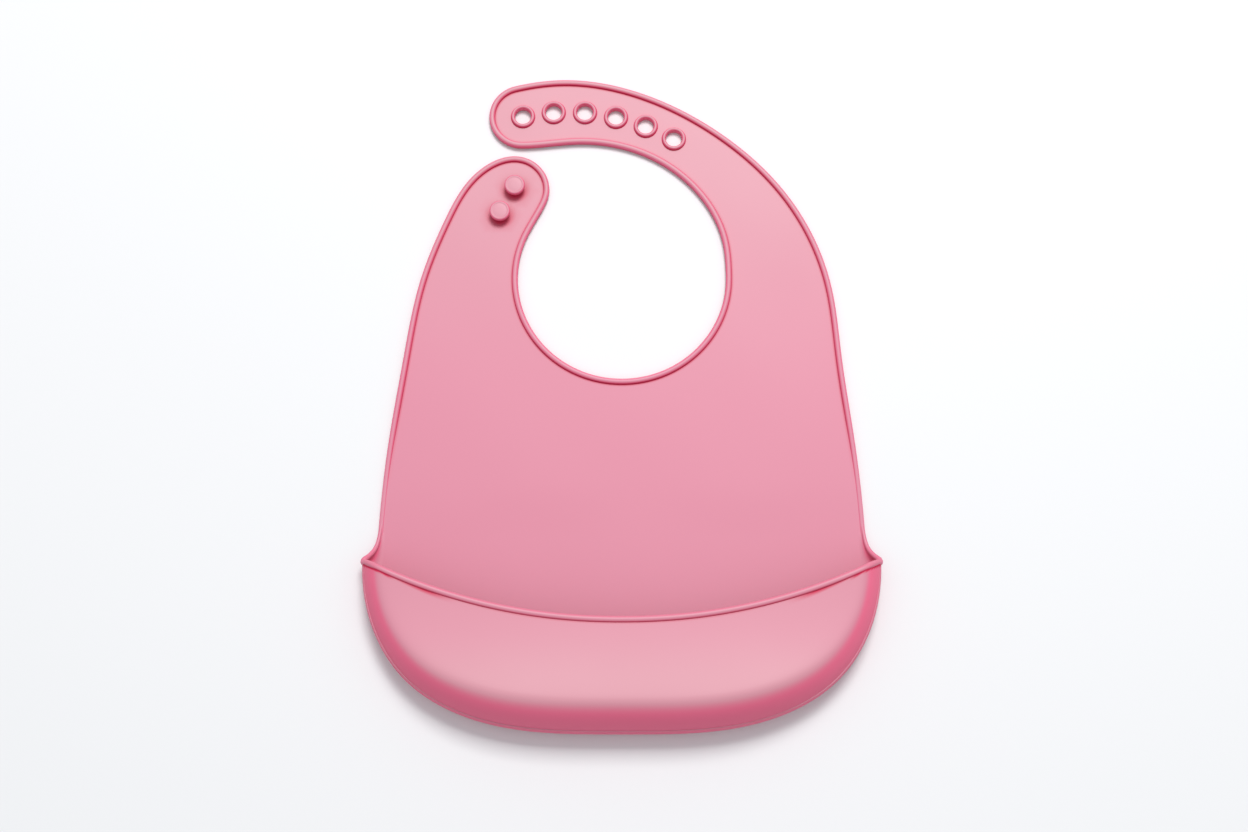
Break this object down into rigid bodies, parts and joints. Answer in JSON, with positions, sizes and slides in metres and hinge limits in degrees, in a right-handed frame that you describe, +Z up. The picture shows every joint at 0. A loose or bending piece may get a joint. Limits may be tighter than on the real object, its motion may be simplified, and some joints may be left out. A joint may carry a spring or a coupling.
{
  "type": "silicone baby bib",
  "caption": "Soft moulded bib with a beaded edge, a catcher pocket that stands open, and neck straps that fasten with studs in a row of ringed eyelets.",
  "frame": {"origin": "centre of the bib's outline box, on the surface that the bib lies on, at its back face", "axes": "+Y from the pocket up to the neck straps, +Z up out of the bib's front face, +X to the side of the long strap's root"},
  "size_m": [0.2308, 0.3048, 0.029],
  "materials": {
    "silicone": "matte to satin moulded silicone"
  },
  "bodies": {
    "apron_lower": {"lower_panel": "silicone", "lower_bead_left": "silicone", "lower_bead_right": "silicone", "pocket_base": "silicone", "pocket_side_left": "silicone", "pocket_side_right": "silicone", "pocket_ear_left": "silicone", "pocket_ear_right": "silicone", "pocket_flex_web": "silicone", "parting_ridge": "silicone"},
    "pocket_front": {"pocket_front_wall": "silicone", "pocket_rim": "silicone"},
    "apron_upper": {"upper_panel": "silicone", "upper_bead_left": "silicone", "upper_bead_right": "silicone", "neck_bead": "silicone"},
    "hole_strap_1": {"hole_strap_1_panel": "silicone", "hole_strap_1_bead": "silicone"},
    "hole_strap_2": {"hole_strap_2_panel": "silicone", "hole_strap_2_bead": "silicone"},
    "hole_strap_3": {"hole_strap_3_panel": "silicone", "hole_strap_3_bead": "silicone", "eyelet_ring_4": "silicone", "eyelet_ring_5": "silicone", "eyelet_ring_6": "silicone"},
    "hole_strap_4": {"hole_strap_4_panel": "silicone", "hole_strap_4_bead": "silicone", "eyelet_ring_1": "silicone", "eyelet_ring_2": "silicone", "eyelet_ring_3": "silicone"},
    "stud_strap_1": {"stud_strap_1_panel": "silicone", "stud_strap_1_bead": "silicone"},
    "stud_strap_2": {"stud_strap_2_panel": "silicone", "stud_strap_2_bead": "silicone", "stud_1": "silicone", "stud_2": "silicone"}
  },
  "joints": [
    {"name": "pocket_flex", "type": "hinge", "parent": "apron_lower", "child": "pocket_front", "pos_m": [0, -0.1519, 0.008], "axis": [1, 0, 0], "range_deg": [-14, 12], "stiffness_Nm_per_rad": 0.6, "deforming": ["pocket_flex_web"]},
    {"name": "apron_fold", "type": "hinge", "parent": "apron_lower", "child": "apron_upper", "pos_m": [0, -0.025, 0.0033], "axis": [1, 0, 0], "range_deg": [0, 120], "stiffness_Nm_per_rad": 0.01},
    {"name": "hole_strap_flex_1", "type": "hinge", "parent": "apron_upper", "child": "hole_strap_1", "pos_m": [0, 0.0555, 0.0033], "axis": [0.9781, 0.2079, 0], "range_deg": [0, 20], "stiffness_Nm_per_rad": 0.0026},
    {"name": "hole_strap_flex_2", "type": "hinge", "parent": "hole_strap_1", "child": "hole_strap_2", "pos_m": [0, 0.0555, 0.0033], "axis": [0.788, 0.6157, 0], "range_deg": [0, 20], "stiffness_Nm_per_rad": 0.0026},
    {"name": "hole_strap_flex_3", "type": "hinge", "parent": "hole_strap_2", "child": "hole_strap_3", "pos_m": [0, 0.0555, 0.0033], "axis": [0.4462, 0.8949, 0], "range_deg": [0, 20], "stiffness_Nm_per_rad": 0.0026},
    {"name": "hole_strap_flex_4", "type": "hinge", "parent": "hole_strap_3", "child": "hole_strap_4", "pos_m": [0, 0.0555, 0.0033], "axis": [-0.1253, 0.9921, 0], "range_deg": [0, 20], "stiffness_Nm_per_rad": 0.0026},
    {"name": "stud_strap_flex_1", "type": "hinge", "parent": "apron_upper", "child": "stud_strap_1", "pos_m": [0, 0.0555, 0.0033], "axis": [0.9903, -0.1392, 0], "range_deg": [0, 25], "stiffness_Nm_per_rad": 0.0026},
    {"name": "stud_strap_flex_2", "type": "hinge", "parent": "stud_strap_1", "child": "stud_strap_2", "pos_m": [0, 0.0555, 0.0033], "axis": [0.9272, -0.3746, 0], "range_deg": [0, 25], "stiffness_Nm_per_rad": 0.0026}
  ],
  "couplings": [
    {"joint": "hole_strap_flex_2", "follows": "hole_strap_flex_1", "ratio": 1},
    {"joint": "hole_strap_flex_3", "follows": "hole_strap_flex_1", "ratio": 1},
    {"joint": "hole_strap_flex_4", "follows": "hole_strap_flex_1", "ratio": 1},
    {"joint": "stud_strap_flex_2", "follows": "stud_strap_flex_1", "ratio": 1}
  ]
}
